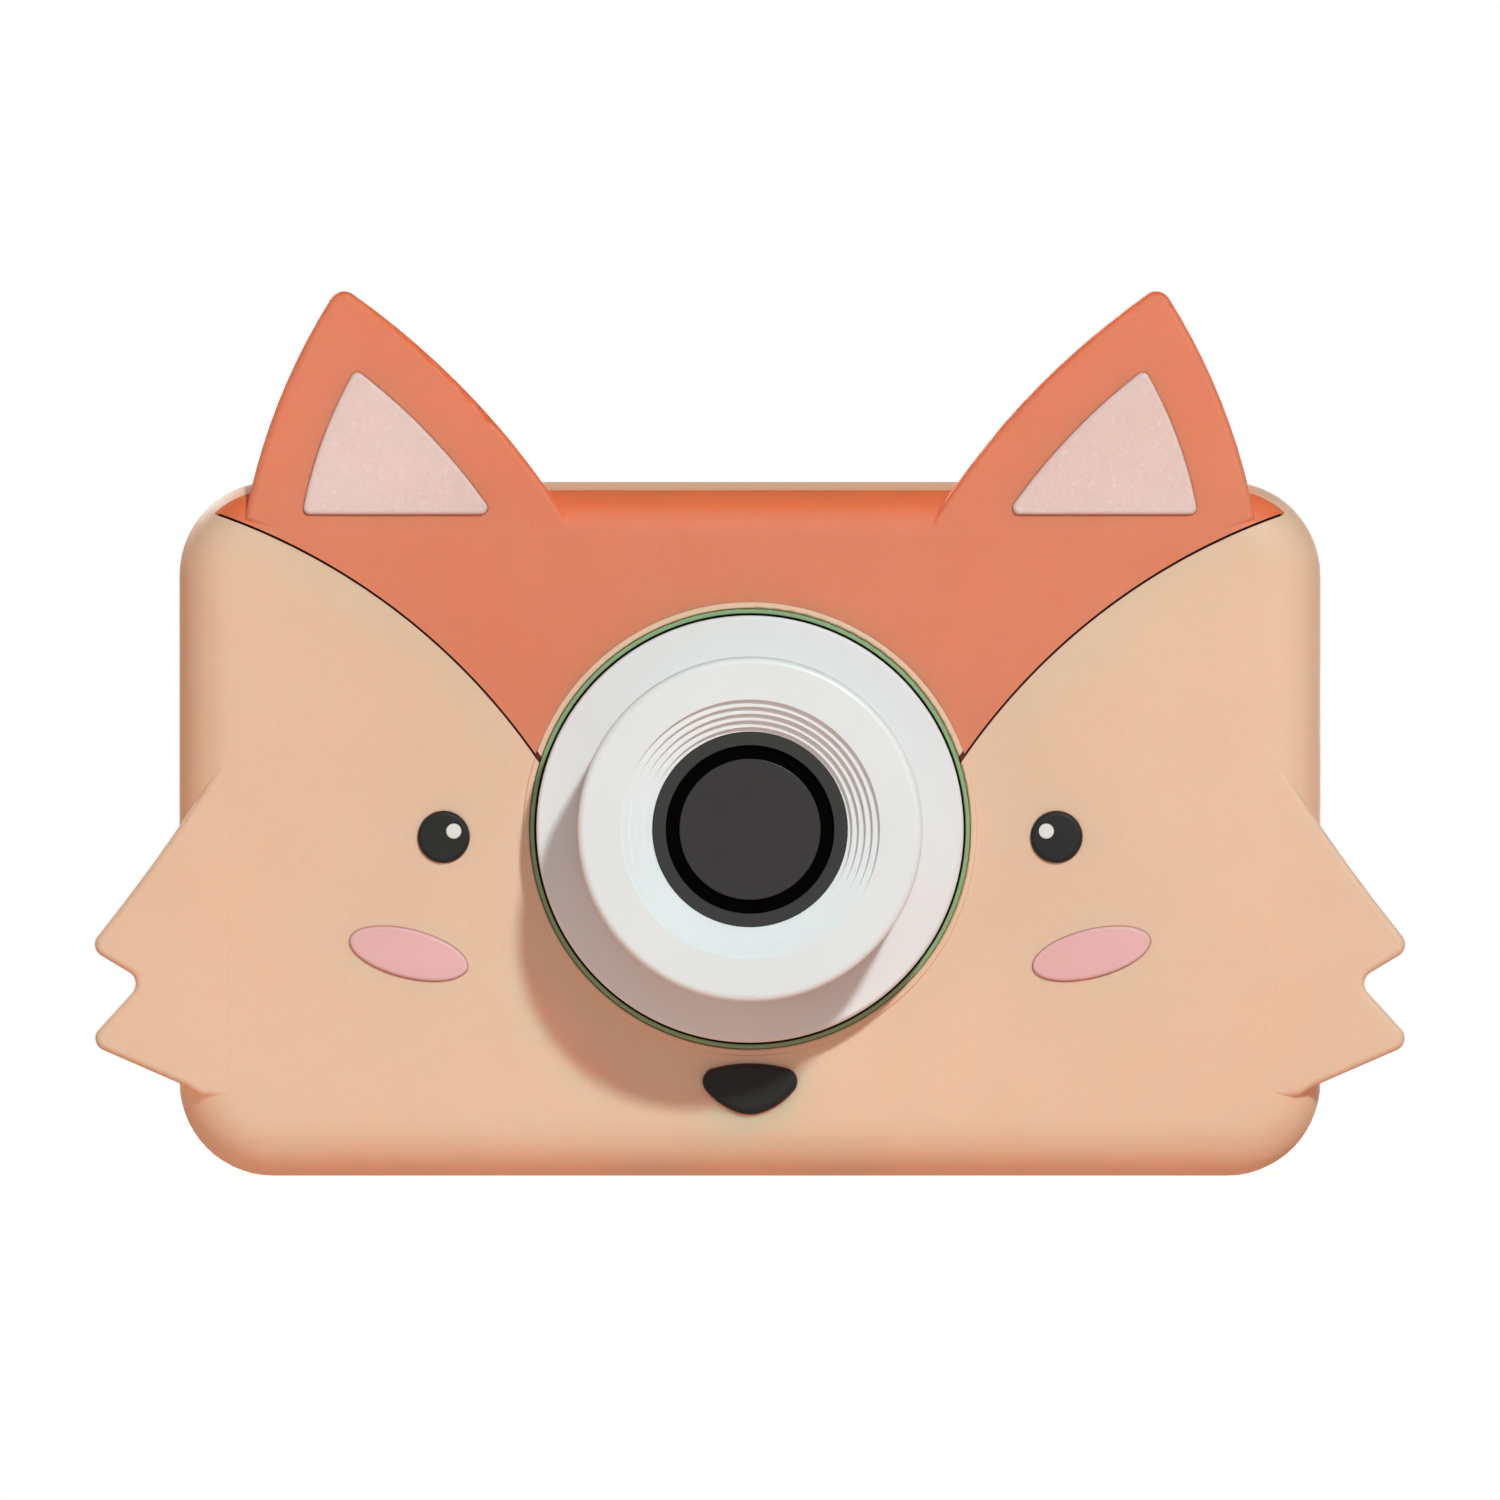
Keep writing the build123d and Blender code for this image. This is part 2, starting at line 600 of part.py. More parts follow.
with BuildPart() as lens_barrel:
    ring_profile(
        [
            (17.8, HOUSING_FRONT - 0.02),
            (17.8, FOOT_TOP_Y),
            (BARREL_R, FOOT_TOP_Y),
            (BARREL_R, TIP_Y),
            *step_points,
            (BEZEL_R, BEZEL_Y),
            (BEZEL_R, BEZEL_BACK_Y),
            (13.2, BEZEL_BACK_Y),
            (13.2, HOUSING_FRONT - 0.02),
        ]
    )
    tip_edges = lens_barrel.faces().sort_by(Axis.Y)[0].edges()
    fillet(tip_edges.sort_by(SortBy.RADIUS)[-1], 0.6)
    posts(screw_spots, 0.92, FOOT_TOP_Y + 0.4, HOUSING_FRONT + 1, Mode.SUBTRACT)
save(lens_barrel, "lens_barrel")

with BuildPart() as lens_trim_ring:
    ring_profile(
        [
            (BARREL_R + CLEAR, TRIM_TOP_Y),
            (TRIM_R, TRIM_TOP_Y),
            (TRIM_R, TRIM_SEAT_Y - 0.02),
            (17.85, TRIM_SEAT_Y - 0.02),
            (17.85, FOOT_TOP_Y - 0.02),
            (17.2, FOOT_TOP_Y - 0.02),
            (17.2, TRIM_UNDER_Y),
            (BARREL_R + CLEAR, TRIM_UNDER_Y),
        ]
    )
    trim_edges = lens_trim_ring.faces().sort_by(Axis.Y)[0].edges()
    fillet(trim_edges.sort_by(SortBy.RADIUS)[-1], 0.3)
save(lens_trim_ring, "lens_trim_ring")

WINDOW_SEAT_Y = -17.6
BEZEL_BORE_R = 7.34
WINDOW_R = 6.14
with BuildPart() as lens_bezel:
    ring_profile(
        [
            (BEZEL_BORE_R, BEZEL_Y),
            (BEZEL_R - CLEAR, BEZEL_Y),
            (BEZEL_R - CLEAR, BEZEL_BACK_Y + 0.02),
            (10.5, BEZEL_BACK_Y + 0.02),
            (10.5, -16.4),
            (5.2, -16.4),
            (5.2, WINDOW_SEAT_Y),
            (BEZEL_BORE_R, WINDOW_SEAT_Y),
        ]
    )
save(lens_bezel, "lens_bezel")

with BuildPart() as lens_gasket:
    gasket_y = (BEZEL_Y + 0.4, WINDOW_SEAT_Y - 0.02)
    gasket_r = (WINDOW_R + 0.04, BEZEL_BORE_R - 0.04)
    ring_profile([(r, y) for r, y in zip(gasket_r + gasket_r[::-1], gasket_y[:1] * 2 + gasket_y[1:] * 2)])
save(lens_gasket, "lens_gasket")

with BuildPart() as lens_window:
    posts([(0, LENS_Z)], WINDOW_R, BEZEL_Y, WINDOW_SEAT_Y - 0.02)
    fillet(lens_window.faces().sort_by(Axis.Y)[0].edges(), 0.12)
save(lens_window, "lens_window")

with BuildPart() as objective_lens:
    with BuildSketch(LENS_PLANE):
        with BuildLine():
            ThreePointArc((0, -12.3), (1.45, -12.13), (2.8, -11.6))
            Polyline((2.8, -11.6), (2.8, -10.72), (0, -10.72))
            Line((0, -10.72), (0, -12.3))
        make_face()
    revolve(axis=LENS_AXIS)
save(objective_lens, "objective_lens")

with BuildPart() as lens_holder:
    slab((-4.5, 4.5), (-4.5, 0.48), (LENS_Z - 4.5, LENS_Z + 4.5))
    posts([(0, LENS_Z)], 4.0, -11.5, -4.4)
    posts([(0, LENS_Z)], 2.85, -12, -10.7, Mode.SUBTRACT)
    posts([(0, LENS_Z)], 2.0, -12, -1.0, Mode.SUBTRACT)
save(lens_holder, "lens_holder")

with BuildPart() as camera_board:
    with BuildSketch(facing(0.5)):
        with Locations((0, LENS_Z)):
            RectangleRounded(35.0, 12.0, 1.0)
        with Locations(*CAMERA_POSTS):
            Circle(0.9, mode=Mode.SUBTRACT)
    extrude(amount=-1.0)
save(camera_board, "camera_board")

# ---------------------------------------------------------------- electronics behind
with BuildPart() as main_board:
    with BuildSketch(facing(BOARD_FRONT)):
        with Locations((0, 29.9)):
            RectangleRounded(83.0, 49.4, 2.0)
        with Locations(*CORNER_BOSSES):
            Circle(3.5, mode=Mode.SUBTRACT)
        with Locations(*BOARD_POSTS):
            Circle(1.1, mode=Mode.SUBTRACT)
    extrude(amount=-(BOARD_BACK - BOARD_FRONT))
save(main_board, "main_board")

with BuildPart() as processor:
    slab((16, 28), (9.4, BOARD_FRONT - 0.02), (30, 42))
save(processor, "processor")

KEY_SWITCH_TOP_Y = 13.8
PLUNGER_Y = 14.6
with BuildPart() as tact_switches:
    for x, z in key_spots:
        slab((x - 2.25, x + 2.25), (BOARD_BACK + 0.02, KEY_SWITCH_TOP_Y), (z - 2.25, z + 2.25))
    posts(key_spots, 1.2, KEY_SWITCH_TOP_Y - 0.1, PLUNGER_Y)
    for key_x, _, _, _ in TOP_KEYS.values():
        slab((key_x - 3, key_x + 3), (7.0, BOARD_FRONT - 0.02), (50.6, 53.0))
        with Locations((key_x, TOP_SWITCH_Y, (52.9 + TOP_PLUNGER_Z) / 2)):
            Cylinder(1.2, TOP_PLUNGER_Z - 52.9)
save(tact_switches, "tact_switches")

with BuildPart() as battery:
    slab((-37.5, -9.5), (1.7, 9.4), (10.4, 50.2))
    fillet(battery.edges().filter_by(Axis.Z), 1.6)
save(battery, "battery")

with BuildPart() as battery_connector:
    slab((-18.2, -11.8), (8.4, BOARD_FRONT - 0.02), (52.0, 54.4))
save(battery_connector, "battery_connector")

with BuildPart() as battery_leads:
    for lead_x in (-16.2, -13.8):
        with BuildLine():
            FilletPolyline((lead_x, 5.5, 50.22), (lead_x, 5.5, 53.2), (lead_x, 8.38, 53.2), radius=1.2)
        with BuildSketch(Plane((lead_x, 5.5, 50.22))):
            Circle(0.5)
        sweep()
save(battery_leads, "battery_leads")

with BuildPart() as lcd_module:
    slab((-24, 24), (15.1, BACK_INSIDE - 0.1), (SCREEN_Z - 18, SCREEN_Z + 18))
save(lcd_module, "lcd_module")

with BuildPart() as screen_window:
    with BuildSketch(facing(HOUSING_BACK - WINDOW_THICK - 0.05)):
        with Locations((0, SCREEN_Z)):
            RectangleRounded(*WINDOW_SIZE, 3.0)
    extrude(amount=-WINDOW_THICK)
    fillet(screen_window.faces().sort_by(Axis.Y)[-1].edges(), 0.3)
save(screen_window, "screen_window")


def ribbon(name, width, centre_x, *points):
    """A flat flexible cable of the given width, along (y, z) points with round bends."""
    with BuildPart() as flex:
        with BuildSketch(Plane.YZ.offset(centre_x)):
            with BuildLine() as route:
                FilletPolyline(*points, radius=0.8)
            trace(route.line, line_width=0.2)
        extrude(amount=width / 2, both=True)
    save(flex, name)


ribbon("lcd_flex", 12.0, 8.0, (14.95, 19), (14.95, 12.9), (11.95, 12.9), (11.95, 17))
ribbon("camera_flex", 6.0, 4.0, (1.65, 27), (1.65, 22), (8.0, 22), (8.0, 26), (10.45, 26), (10.45, 29))

with BuildPart() as speaker:
    with BuildSketch(facing(14.2)):
        with Locations(SPEAKER_SPOT):
            RectangleRounded(15.0, 7.8, 2.0)
    extrude(amount=-(BACK_INSIDE - 14.3))
save(speaker, "speaker")

with BuildPart() as charge_light:
    posts([LIGHT_SPOT], 1.0, 14.0, HOUSING_BACK + 0.05)
    posts([LIGHT_SPOT], 1.7, 14.0, 16.0)
save(charge_light, "charge_light")

# ---------------------------------------------------------------- rear (selfie) lens
with BuildPart() as selfie_bezel:
    posts([SELFIE_SPOT], 4.5, 16.8, 19.9)
    posts([SELFIE_SPOT], 5.3, 16.6, 17.5)
    fillet(selfie_bezel.faces().sort_by(Axis.Y)[-1].edges(), 0.5)
    posts([SELFIE_SPOT], 2.5, 16, 21, Mode.SUBTRACT)
    posts([SELFIE_SPOT], 3.2, 18.9, 21, Mode.SUBTRACT)
save(selfie_bezel, "selfie_bezel")

with BuildPart() as selfie_window:
    posts([SELFIE_SPOT], 3.15, 18.92, 19.6)
save(selfie_window, "selfie_window")

with BuildPart() as selfie_module:
    selfie_x, selfie_z = SELFIE_SPOT
    slab((selfie_x - 3.2, selfie_x + 3.2), (BOARD_BACK + 0.02, 15.4), (selfie_z - 3.2, selfie_z + 3.2))
    posts([SELFIE_SPOT], 2.2, 15.3, 18.2)
save(selfie_module, "selfie_module")


# ---------------------------------------------------------------- keys
def draw_symbol(kind):
    """A small raised symbol, centred on the sketch's origin."""
    if kind in ("up", "down", "play"):
        turn = {"up": 90, "down": -90, "play": 180}[kind]
        RegularPolygon(1.35, 3, rotation=turn)
    elif kind == "ring":
        Circle(1.3)
        Circle(0.85, mode=Mode.SUBTRACT)
    else:
        RectangleRounded(3.0, 2.1, 0.4)
        Circle(0.6, mode=Mode.SUBTRACT)


CAP_TOP_Y = 20.2
for name, (x, z, kind) in KEYS.items():
    with BuildPart() as key:
        posts([(x, z)], 4.0, 17.2, CAP_TOP_Y)
        fillet(key.faces().sort_by(Axis.Y)[-1].edges(), 0.6)
        posts([(x, z)], 4.0 + KEY_FLANGE_WIDER, 16.6, BACK_INSIDE - 0.1)
        posts([(x, z)], 1.3, PLUNGER_Y + KEY_TRAVEL + CLEAR, 16.8)
        with BuildSketch(facing(CAP_TOP_Y - 0.2)):
            with Locations((x, z)):
                draw_symbol(kind)
        extrude(amount=-0.4)
    save(key, name)

for name, (x, cap_r, proud, travel) in TOP_KEYS.items():
    with BuildPart() as key:
        with BuildSketch(Plane.XY.offset(TOP_INSIDE - 0.6)):
            with Locations((x, TOP_KEY_Y)):
                Circle(cap_r)
        extrude(amount=SLEEVE_HEIGHT + proud - TOP_INSIDE + 0.6)
        fillet(key.faces().sort_by(Axis.Z)[-1].edges(), 0.7)
        with BuildSketch(Plane.XY.offset(TOP_INSIDE - 1.0)):
            with Locations((x, TOP_KEY_Y)):
                Circle(cap_r + KEY_FLANGE_WIDER)
        extrude(amount=0.9)
        stem_end = TOP_PLUNGER_Z + travel + CLEAR
        with BuildSketch(Plane.XY.offset(stem_end)):
            with Locations((x, TOP_SWITCH_Y)):
                Circle(1.2)
        extrude(amount=TOP_INSIDE - 0.9 - stem_end)
    save(key, name)

# ---------------------------------------------------------------- ports under the door
USB_X, USB_Y = -6.0, 13.5
with BuildPart() as usb_socket:
    with BuildSketch(Plane.XY.offset(4.9)):
        with Locations((USB_X, USB_Y)):
            RectangleRounded(8.94, 3.26, 1.6)
    extrude(amount=7.3)
    with BuildSketch(Plane.XY.offset(4.9)):
        with Locations((USB_X, USB_Y)):
            RectangleRounded(8.34, 2.56, 1.27)
    extrude(amount=6.2, mode=Mode.SUBTRACT)
    with BuildSketch(Plane.XY.offset(5.7)):
        with Locations((USB_X, USB_Y)):
            Rectangle(6.7, 0.7)
    extrude(amount=5.6)
save(usb_socket, "usb_socket")

CARD_X, CARD_Y = 6.5, 9.45
with BuildPart() as card_socket:
    slab((CARD_X - 7.2, CARD_X + 7.2), (8.65, BOARD_FRONT - 0.02), (5.4, 20.8))
    slab((CARD_X - 5.65, CARD_X + 5.65), (CARD_Y - 0.5, CARD_Y + 0.5), (5.0, 20.2), Mode.SUBTRACT)
save(card_socket, "card_socket")

with BuildPart() as port_door:
    slab(
        (-DOOR_HALF_WIDTH, DOOR_HALF_WIDTH),
        (DOOR_AXIS_Y, DOOR_FREE_EDGE_Y),
        (DOOR_AXIS_Z - DOOR_KNUCKLE_R, DOOR_AXIS_Z + 0.4),
    )
    fillet(port_door.edges().filter_by(Axis.Z).group_by(Axis.Y)[-1], 1.2)
    with Locations(Location((0, DOOR_AXIS_Y, DOOR_AXIS_Z), (0, 90, 0))):
        Cylinder(DOOR_KNUCKLE_R, 2 * DOOR_HALF_WIDTH)
        Cylinder(DOOR_PIN_R + 0.05, 2 * DOOR_HALF_WIDTH, mode=Mode.SUBTRACT)
    # finger grip near the free edge
    for row in (0.0, 1.1, 2.2):
        with Locations((0, DOOR_FREE_EDGE_Y - 1.6 - row, DOOR_AXIS_Z - DOOR_KNUCKLE_R)):
            Box(8.0, 0.5, 0.5)
save(port_door, "port_door")

with BuildPart() as port_door_pin:
    with Locations(Location((0, DOOR_AXIS_Y, DOOR_AXIS_Z), (0, 90, 0))):
        Cylinder(DOOR_PIN_R, 30.8)
save(port_door_pin, "port_door_pin")

with BuildPart() as lanyard_pin:
    with Locations((46.8, LANYARD_SPOT[0], LANYARD_SPOT[1])):
        Cylinder(0.9, 9.5)
save(lanyard_pin, "lanyard_pin")
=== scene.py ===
import math

import bpy
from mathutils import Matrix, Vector

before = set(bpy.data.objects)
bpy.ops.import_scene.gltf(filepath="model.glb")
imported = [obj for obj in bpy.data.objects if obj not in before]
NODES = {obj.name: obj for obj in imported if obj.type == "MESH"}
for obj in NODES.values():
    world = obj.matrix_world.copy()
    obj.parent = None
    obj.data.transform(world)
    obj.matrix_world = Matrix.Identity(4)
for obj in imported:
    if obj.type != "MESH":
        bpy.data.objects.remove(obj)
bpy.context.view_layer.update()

MM = 0.001
WHITE = (1, 1, 1, 1)
MIX_COLOUR_SOCKETS = (0, 6, 7)  # factor, A and B of a Mix node that mixes colours
MIX_COLOUR_RESULT = 2


# ------------------------------------------------------------------ node helpers
def srgb(text):
    """A colour written as RRGGBB, as linear values."""
    def linear(part):
        value = int(part, 16) / 255
        return value / 12.92 if value <= 0.04045 else ((value + 0.055) / 1.055) ** 2.4
    return tuple(linear(text[i:i + 2]) for i in (0, 2, 4)) + (1.0,)


def shade(colour, factor):
    """The colour made darker or lighter, and no lighter than white."""
    return tuple(min(1.0, part * factor) for part in colour[:3]) + (1.0,)


class Tree:
    """Short names for building one material's node tree."""

    def __init__(self, name):
        self.material = bpy.data.materials.new(name)
        self.material.use_nodes = True
        self.tree = self.material.node_tree
        self.bsdf = self.tree.nodes["Principled BSDF"]
        self.place = self.node("ShaderNodeTexCoord").outputs["Object"]

    def node(self, kind, **settings):
        made = self.tree.nodes.new(kind)
        for key, value in settings.items():
            setattr(made, key, value)
        return made

    def link(self, source, target):
        self.tree.links.new(source, target)

    def noise(self, size, detail=2.0, roughness=0.5, stretch=None):
        """Noise whose features measure about size metres, from 0 to 1."""
        made = self.node("ShaderNodeTexNoise")
        made.inputs["Scale"].default_value = 1 / size
        made.inputs["Detail"].default_value = detail
        made.inputs["Roughness"].default_value = roughness
        if stretch:
            mapping = self.node("ShaderNodeMapping")
            mapping.inputs["Scale"].default_value = stretch
            self.link(self.place, mapping.inputs["Vector"])
            self.link(mapping.outputs["Vector"], made.inputs["Vector"])
        else:
            self.link(self.place, made.inputs["Vector"])
        return made.outputs["Fac"]

    def span(self, source, low, high, start=0.0, end=1.0):
        """source, from start to end, mapped to low to high."""
        made = self.node("ShaderNodeMapRange")
        for key, value in (("From Min", start), ("From Max", end), ("To Min", low), ("To Max", high)):
            made.inputs[key].default_value = value
        self.link(source, made.inputs["Value"])
        return made.outputs["Result"]

    def give(self, socket, value):
        """Set a socket to a number or colour, or link it to another node's output."""
        if hasattr(value, "is_output"):
            self.link(value, socket)
        else:
            socket.default_value = value

    def math(self, operation, a, b=None):
        made = self.node("ShaderNodeMath", operation=operation)
        self.give(made.inputs[0], a)
        if b is not None:
            self.give(made.inputs[1], b)
        return made.outputs[0]

    def both(self, a, b):
        """The product of two masks."""
        return self.math("MULTIPLY", a, b)

    def mix(self, factor, a, b):
        """Colour a where factor is 0 and colour b where it is 1."""
        made = self.node("ShaderNodeMix", data_type="RGBA", blend_type="MIX")
        made.clamp_factor = True
        for index, value in zip(MIX_COLOUR_SOCKETS, (factor, a, b)):
            self.give(made.inputs[index], value)
        return made.outputs[MIX_COLOUR_RESULT]

    def axis(self, name):
        """One object coordinate, in metres."""
        made = self.node("ShaderNodeSeparateXYZ")
        self.link(self.place, made.inputs[0])
        return made.outputs[name]

    def away(self, x, z, both_sides=False):
        """Distance from the line through (x, z) that runs from front to back, in metres."""
        place = self.place
        if both_sides:
            folded = self.node("ShaderNodeVectorMath", operation="ABSOLUTE")
            self.link(place, folded.inputs[0])
            place = folded.outputs[0]
        offset = self.node("ShaderNodeVectorMath", operation="SUBTRACT")
        offset.inputs[1].default_value = (x, 0, z)
        self.link(place, offset.inputs[0])
        flat = self.node("ShaderNodeVectorMath", operation="MULTIPLY")
        flat.inputs[1].default_value = (1, 0, 1)
        self.link(offset.outputs[0], flat.inputs[0])
        made = self.node("ShaderNodeVectorMath", operation="LENGTH")
        self.link(flat.outputs[0], made.inputs[0])
        return made.outputs["Value"]

    def front(self):
        """1 at the camera's face and 0 from 4 mm behind it."""
        return self.span(self.axis("Y"), 1.0, 0.0, -3.5 * MM, -3.0 * MM)

    def upward(self):
        """1 where the surface faces the sky and 0 where it is upright or faces down."""
        split = self.node("ShaderNodeSeparateXYZ")
        self.link(self.node("ShaderNodeNewGeometry").outputs["Normal"], split.inputs[0])
        return self.span(split.outputs["Z"], 0.0, 1.0, 0.10, 0.60)

    def band(self, source, low, high, soft):
        """1 where source lies from low to high, fading to 0 over soft on either side."""
        return self.both(
            self.span(source, 0.0, 1.0, low - soft, low),
            self.span(source, 1.0, 0.0, high, high + soft),
        )

    def bump(self, layers):
        """layers is [(height, depth in metres), ...]; each height runs from 0 to 1."""
        normal = None
        for height, depth in layers:
            made = self.node("ShaderNodeBump")
            made.inputs["Strength"].default_value = 1.0
            made.inputs["Distance"].default_value = depth
            self.link(height, made.inputs["Height"])
            if normal:
                self.link(normal, made.inputs["Normal"])
            normal = made.outputs["Normal"]
        self.link(normal, self.bsdf.inputs["Normal"])

    def set(self, **values):
        names = {
            "rough": "Roughness", "metal": "Metallic", "specular": "Specular IOR Level",
            "sss": "Subsurface Weight", "sss_radius": "Subsurface Radius", "sss_scale": "Subsurface Scale",
            "coat": "Coat Weight", "coat_rough": "Coat Roughness", "sheen": "Sheen Weight",
            "sheen_rough": "Sheen Roughness", "ior": "IOR",
            "clear": "Transmission Weight", "colour": "Base Color", "alpha": "Alpha",
            "glow": "Emission Strength", "glow_colour": "Emission Color",
        }
        for key, value in values.items():
            self.give(self.bsdf.inputs[names[key]], value)


# ------------------------------------------------------------------ materials
LENS_Z = 30.4 * MM
BROW_CENTRE = (65.307 * MM, 4.436 * MM)  # the brow curves are arcs about this point
BROW_R = 56.757 * MM
BROW_END_X = 46.4 * MM
BROW_END_Z = 33.3 * MM
KEY_CAP_Y = 20.2 * MM  # outer face of the rear keys, under their raised symbols
EYE_AND_CHEEK = (28.6 * MM, 24.5 * MM)  # the middle of an eye and the cheek below it
# painted shade: the dark colour given to the seam along the brow curves
SEAM_PAINTED_SHADE = srgb("5c1207")
# painted light: the warm tint that stands in for light spread from the orange field into the strip above it
ORANGE_SPREAD_PAINTED_LIGHT = srgb("f0a87c")
RED_SPREADS = (1.0, 0.10, 0.04)  # how far each colour of light travels in silicone, as a share of its reach
CLOUD, PATCH, SKIN_GRAIN, SPARKLE = 30 * MM, 7 * MM, 0.42 * MM, 0.33 * MM  # sizes of the marks in silicone


def silicone(
    name, colour, deep, grain=1.0, mottle=1.0, scatter=0.75, reach=4 * MM, speckle=0.0, specular=0.32,
    seam=None, thin_parts=False, upward_painted_shade=None,
):
    """Soft matt silicone: red light gets in and spreads, and the surface has a fine cast grain.

    seam is the stretch across the brow curve, in metres, that is coloured dark as painted shade in the seam
    between the orange field and the tan sleeve. thin_parts says that the piece has places where less light can
    spread than in its bulk, and it paints a warm tint on the strip above the orange field that stands in for
    light spread from it. upward_painted_shade is the deeper colour painted as shade on edges that turn upward.
    """
    t = Tree(name)
    clouds = t.noise(CLOUD, 3.0, 0.55)
    patches = t.noise(PATCH, 3.0, 0.6)
    tone = t.mix(t.span(clouds, 0.0, 0.55 * mottle, 0.38, 0.68), colour, deep)
    tone = t.mix(t.span(patches, 0.0, 0.30 * mottle, 0.45, 0.75), tone, deep)
    fine = t.noise(SKIN_GRAIN, 3.0, 0.7)
    tone = t.mix(t.span(fine, 0.0, 0.20 + 0.35 * speckle, 0.55, 0.80), tone, shade(deep, 0.86))
    if speckle:
        sparkle = t.noise(SPARKLE, 1.0, 0.4)
        tone = t.mix(t.span(sparkle, 0.0, speckle, 0.60, 0.78), tone, shade(colour, 1.25))
    # painted shade: edges that turn upward get a deeper colour
    if upward_painted_shade:
        tone = t.mix(t.upward(), tone, upward_painted_shade)
    if seam:
        across = t.math("SUBTRACT", t.away(*BROW_CENTRE, both_sides=True), BROW_R)
        along = t.both(
            t.span(t.math("ABSOLUTE", t.axis("X")), 1.0, 0.0, BROW_END_X, BROW_END_X + 0.2 * MM),
            t.span(t.axis("Z"), 0.0, 1.0, BROW_END_Z, BROW_END_Z + 0.2 * MM),
        )
        along = t.both(along, t.front())
        # painted shade: the seam between the orange field and the tan sleeve is coloured dark
        line = t.both(t.band(across, *seam, 0.015 * MM), along)
        tone = t.mix(line, tone, SEAM_PAINTED_SHADE)
        scatter = t.both(
            t.span(line, scatter, 0.0),
            t.span(t.math("ABSOLUTE", across), 0.25, 1.0, 0.5 * MM, 6.0 * MM),
        )
    if thin_parts:
        sideways = t.math("ABSOLUTE", t.axis("X"))
        # painted light: a warm tint on the narrow strip above the orange field stands in for light spread into it
        # from the orange field
        over = t.both(
            t.span(t.axis("Z"), 0.0, 1.0, 59.0 * MM, 59.4 * MM),
            t.span(sideways, 1.0, 0.0, 42 * MM, 48 * MM),
        )
        over = t.both(over, t.span(t.axis("Y"), 1.0, 0.0, -6.0 * MM, -1.0 * MM))
        tone = t.mix(over, tone, ORANGE_SPREAD_PAINTED_LIGHT)
        # the bead round the lens, the strip over the orange field and the fur are too thin to pass light on,
        # and the pockets of the eyes and cheeks interrupt the rubber
        for share in (
            t.span(t.away(0, LENS_Z), 0.0, 1.0, 19.9 * MM, 21.0 * MM),
            t.span(t.axis("Z"), 1.0, 0.0, 57.5 * MM, 58.8 * MM),
            t.span(sideways, 1.0, 0.15, 41 * MM, 50 * MM),
            t.span(t.away(*EYE_AND_CHEEK, both_sides=True), 0.25, 1.0, 7 * MM, 14 * MM),
            t.span(t.away(0, LENS_Z + 2.5 * MM), 0.25, 1.0, 21 * MM, 25.5 * MM),
        ):
            scatter = t.both(scatter, share)
    t.set(
        colour=tone, rough=t.span(patches, 0.50, 0.62, 0.3, 0.7), specular=specular,
        sss=scatter, sss_radius=RED_SPREADS, sss_scale=reach,
        sheen=0.06, sheen_rough=0.45,
    )
    t.bsdf.subsurface_method = "BURLEY"
    t.bump([
        (t.noise(0.55 * MM, 4.0, 0.65), 0.020 * MM * grain),
        (t.noise(0.18 * MM, 2.0, 0.5), 0.009 * MM * grain),
        (t.noise(12 * MM, 2.0, 0.5), 0.18 * MM),
    ])
    return t.material


def plastic(
    name, colour, rough=0.38, grain=1.0, specular=0.45, mottle=0.06, scatter=0.0, gap_painted_shade=None, marks=None,
):
    """Injection-moulded plastic with a spark-eroded grain.

    gap_painted_shade is the inner and outer radius of the narrow gap round the lens whose inside is coloured near
    black as painted shade, and marks is the colour of the paint on the raised symbol in the middle of a rear key.
    """
    t = Tree(name)
    tone = t.mix(
        t.span(t.noise(11 * MM, 3.0, 0.6), 0.0, 1.0, 0.35, 0.7),
        shade(colour, 1 + mottle / 2), shade(colour, 1 - mottle),
    )
    if gap_painted_shade:
        # painted shade: the inside of the gap round the lens is coloured near black
        inside = t.both(t.band(t.away(0, LENS_Z), *gap_painted_shade, 0.01 * MM), t.front())
        tone = t.mix(inside, tone, srgb("080a07"))
    if marks:
        spread = t.node("ShaderNodeTexCoord").outputs["Generated"]
        offset = t.node("ShaderNodeVectorMath", operation="SUBTRACT")
        offset.inputs[1].default_value = (0.5, 1.0, 0.5)  # the middle of the key's outer face
        t.link(spread, offset.inputs[0])
        middle = t.node("ShaderNodeVectorMath", operation="LENGTH")
        t.link(offset.outputs[0], middle.inputs[0])
        raised = t.span(t.axis("Y"), 0.0, 1.0, KEY_CAP_Y + 0.05 * MM, KEY_CAP_Y + 0.10 * MM)
        symbol = t.both(raised, t.span(middle.outputs["Value"], 1.0, 0.0, 0.30, 0.32))
        tone = t.mix(symbol, tone, marks)
    t.set(
        colour=tone, specular=specular,
        rough=t.span(t.noise(2.2 * MM, 3.0, 0.6), rough - 0.05, rough + 0.06, 0.3, 0.7),
        sss=scatter, sss_radius=(1.0, 0.9, 0.8), sss_scale=0.5 * MM,
    )
    t.bump([
        (t.noise(0.30 * MM, 3.0, 0.6), 0.010 * MM * grain),
        (t.noise(8.5 * MM, 1.0, 0.4), 0.04 * MM),
    ])
    return t.material


def metal(name, colour, rough=0.3, scratch=1.0, stretch=(1, 1, 14)):
    """Drawn or plated metal, whose fine streaks run along the axes with the smallest stretch."""
    t = Tree(name)
    streaks = t.noise(0.9 * MM, 4.0, 0.7, stretch)
    tone = t.mix(t.span(streaks, 0.0, 1.0, 0.3, 0.7), shade(colour, 1.06), shade(colour, 0.82))
    t.set(colour=tone, metal=1.0, rough=t.span(streaks, rough - 0.08, rough + 0.12, 0.3, 0.7))
    t.bump([(streaks, 0.006 * MM * scratch)])
    return t.material


